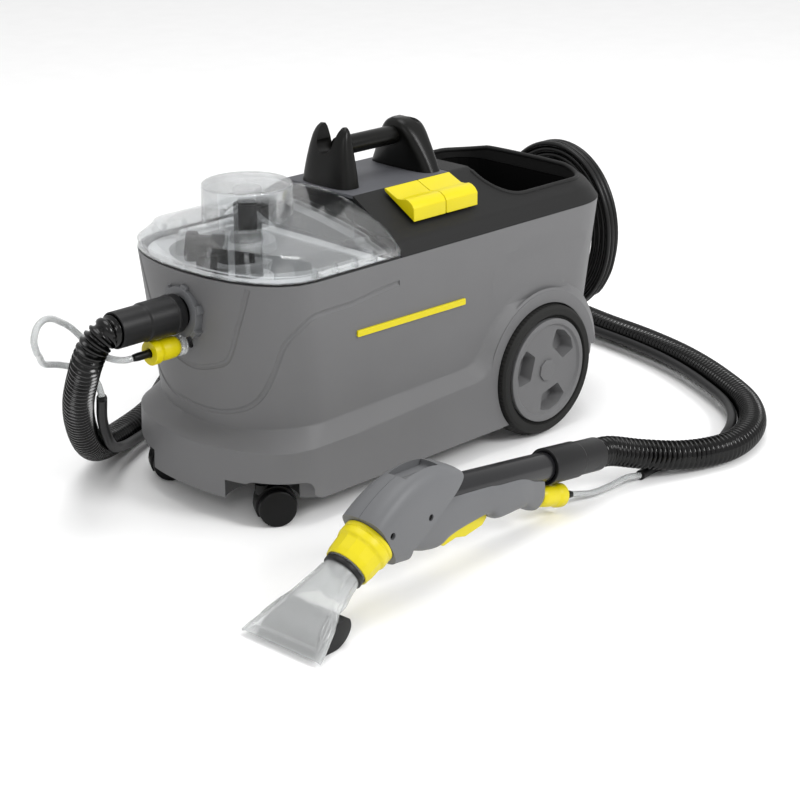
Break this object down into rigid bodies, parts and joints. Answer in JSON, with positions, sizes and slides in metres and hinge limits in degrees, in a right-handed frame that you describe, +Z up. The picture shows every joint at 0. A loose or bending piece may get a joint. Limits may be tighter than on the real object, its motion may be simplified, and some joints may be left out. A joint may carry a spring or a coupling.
{
  "type": "spot extractor",
  "caption": "Wheeled spray-extraction machine with clear-lidded recovery tank, rear clean water tank, carry handle, suction hose and upholstery hand tool",
  "frame": {"origin": "on the floor, under the middle of the bounding box of the machine with its hand tool and without its free cords", "axes": "+Z is up, +X runs from the hose inlet end to the wheel end of the machine, and the hand tool lies on the -Y side"},
  "size_m": [1.1041, 0.9406, 0.435],
  "materials": {
    "housing_grey": "fine moulded grain",
    "soft_black": "smooth moulded",
    "cover_black": "fine moulded grain",
    "tank_black": "smooth moulded",
    "deck_grey": "fine moulded grain",
    "handle_black": "satin moulded",
    "signal_yellow": "satin moulded",
    "clear_plastic": "clear polished",
    "rubber_black": "soft matt",
    "tank_white": "satin moulded",
    "tyre_grey": "matt tread",
    "tool_grey": "fine moulded grain",
    "steel": "machined",
    "brass": "machined",
    "hose_black": "glossy ribbed",
    "clear_tube": "clear flexible",
    "cuff_dark": "satin moulded",
    "grip_dark": "polished"
  },
  "bodies": {
    "root": {"main_housing": "housing_grey", "base_plate": "soft_black", "top_cover": "cover_black", "fresh_water_tank": "tank_black", "deck_panel": "deck_grey", "handle_front_post": "handle_black", "handle_bar": "handle_black", "handle_rear_post": "handle_black", "switch_block": "soft_black", "turbine_housing": "cuff_dark", "motor_can": "steel", "pump_body": "soft_black", "water_strainer": "tank_white", "inlet_port": "tool_grey", "hose_cuff": "cuff_dark", "spray_nipple": "soft_black", "cable_hook": "soft_black", "cord_gland": "rubber_black", "mains_plug": "rubber_black", "grip_tube": "grip_dark", "tool_cuff": "cuff_dark", "tool_shell_left": "tool_grey", "tool_shell_right": "tool_grey", "spray_valve": "brass", "tool_nipple": "soft_black", "nozzle_front": "clear_plastic", "nozzle_back": "cuff_dark", "spray_jet": "brass", "suction_hose": "hose_black", "spray_sleeve": "cuff_dark", "spray_tube_front": "clear_tube", "spray_tube_rear": "clear_tube", "mains_lead": "rubber_black", "mains_hank": "rubber_black", "stub_axle_left": "steel", "stub_axle_right": "steel"},
    "wheel_left": {"rear_tyre_left": "tyre_grey", "rear_hub_left": "tool_grey"},
    "wheel_right": {"rear_tyre_right": "tyre_grey", "rear_hub_right": "tool_grey"},
    "caster_left": {"caster_hood_left": "soft_black"},
    "caster_right": {"caster_hood_right": "soft_black"},
    "rollers_left": {"caster_rollers_left": "soft_black"},
    "rollers_right": {"caster_rollers_right": "soft_black"},
    "lid": {"lid_cover": "clear_plastic", "lid_seal": "rubber_black"},
    "tank": {"recovery_tank": "tank_white", "suction_riser": "soft_black", "inlet_elbow": "soft_black"},
    "bail": {"tank_bail": "tank_white"},
    "float": {"float_ring": "tank_white"},
    "spray_switch": {"rocker_spray": "signal_yellow"},
    "vacuum_switch": {"rocker_vacuum": "signal_yellow"},
    "rotor": {"motor_rotor": "steel"},
    "piston": {"pump_piston": "steel"},
    "trigger_lever": {"trigger": "signal_yellow"},
    "stem": {"valve_stem": "steel"},
    "nut": {"union_nut": "signal_yellow"},
    "machine_collar": {"spray_coupling": "signal_yellow"},
    "tool_collar": {"tool_coupling": "signal_yellow"}
  },
  "joints": [
    {"name": "wheel_left_spin", "type": "hinge", "parent": "root", "child": "wheel_left", "pos_m": [0.22207, -0.01129, 0.092], "axis": [0, 1, 0], "continuous": true},
    {"name": "wheel_right_spin", "type": "hinge", "parent": "root", "child": "wheel_right", "pos_m": [0.22207, 0.26671, 0.092], "axis": [0, 1, 0], "continuous": true},
    {"name": "caster_left_swivel", "type": "hinge", "parent": "root", "child": "caster_left", "pos_m": [-0.22993, 0.02771, 0.05], "axis": [0, 0, 1], "continuous": true},
    {"name": "rollers_left_spin", "type": "hinge", "parent": "caster_left", "child": "rollers_left", "pos_m": [-0.21694, 0.02021, 0.023], "axis": [0.5, 0.866, 0], "continuous": true},
    {"name": "caster_right_swivel", "type": "hinge", "parent": "root", "child": "caster_right", "pos_m": [-0.22993, 0.22771, 0.05], "axis": [0, 0, 1], "continuous": true},
    {"name": "rollers_right_spin", "type": "hinge", "parent": "caster_right", "child": "rollers_right", "pos_m": [-0.21694, 0.22021, 0.023], "axis": [0.5, 0.866, 0], "continuous": true},
    {"name": "lid_lift", "type": "slide", "parent": "root", "child": "lid", "axis": [0, 0, 1], "range_m": [0, 0.45]},
    {"name": "tank_lift", "type": "slide", "parent": "root", "child": "tank", "axis": [0, 0, 1], "range_m": [0, 0.225]},
    {"name": "bail_swing", "type": "hinge", "parent": "tank", "child": "bail", "pos_m": [-0.14993, 0.12771, 0.2995], "axis": [0, -1, 0], "range_deg": [0, 90]},
    {"name": "float_rise", "type": "slide", "parent": "tank", "child": "float", "axis": [0, 0, 1], "range_m": [0, 0.018]},
    {"name": "spray_switch_tilt", "type": "hinge", "parent": "root", "child": "spray_switch", "pos_m": [0.03332, 0.02571, 0.348], "axis": [1, 0, 0], "range_deg": [0, 5]},
    {"name": "vacuum_switch_tilt", "type": "hinge", "parent": "root", "child": "vacuum_switch", "pos_m": [0.09082, 0.02571, 0.348], "axis": [1, 0, 0], "range_deg": [0, 5]},
    {"name": "rotor_spin", "type": "hinge", "parent": "root", "child": "rotor", "pos_m": [0.05607, 0.12771, 0.15], "axis": [0, 0, 1], "continuous": true},
    {"name": "piston_slide", "type": "slide", "parent": "root", "child": "piston", "axis": [1, 0, 0], "range_m": [0, 0.006]},
    {"name": "trigger_pull", "type": "hinge", "parent": "root", "child": "trigger_lever", "pos_m": [-0.18528, -0.21684, 0.045], "axis": [0.0523, -0.9986, 0], "range_deg": [0, 6], "stiffness_Nm_per_rad": 0.6, "springref_deg": -11.46},
    {"name": "valve_stem_slide", "type": "slide", "parent": "root", "child": "stem", "axis": [0.9986, 0.0523, 0], "range_m": [0, 0.003]},
    {"name": "union_nut_turn", "type": "hinge", "parent": "root", "child": "nut", "pos_m": [-0.30834, -0.22329, 0.07306], "axis": [0.8734, 0.0458, 0.4848], "range_deg": [0, 60]},
    {"name": "machine_collar_slide", "type": "slide", "parent": "root", "child": "machine_collar", "axis": [-1, 0, 0], "range_m": [0, 0.005], "stiffness_N_per_m": 400, "springref_m": -0.004},
    {"name": "tool_collar_slide", "type": "slide", "parent": "root", "child": "tool_collar", "axis": [0.9609, 0.0504, -0.2723], "range_m": [0, 0.005], "stiffness_N_per_m": 400, "springref_m": -0.004}
  ],
  "couplings": [
    {"joint": "tank_lift", "follows": "lid_lift", "ratio": 0.5},
    {"joint": "bail_swing", "follows": "lid_lift", "rad_per_m": 3.49},
    {"joint": "valve_stem_slide", "follows": "trigger_pull", "m_per_rad": 0.028}
  ]
}
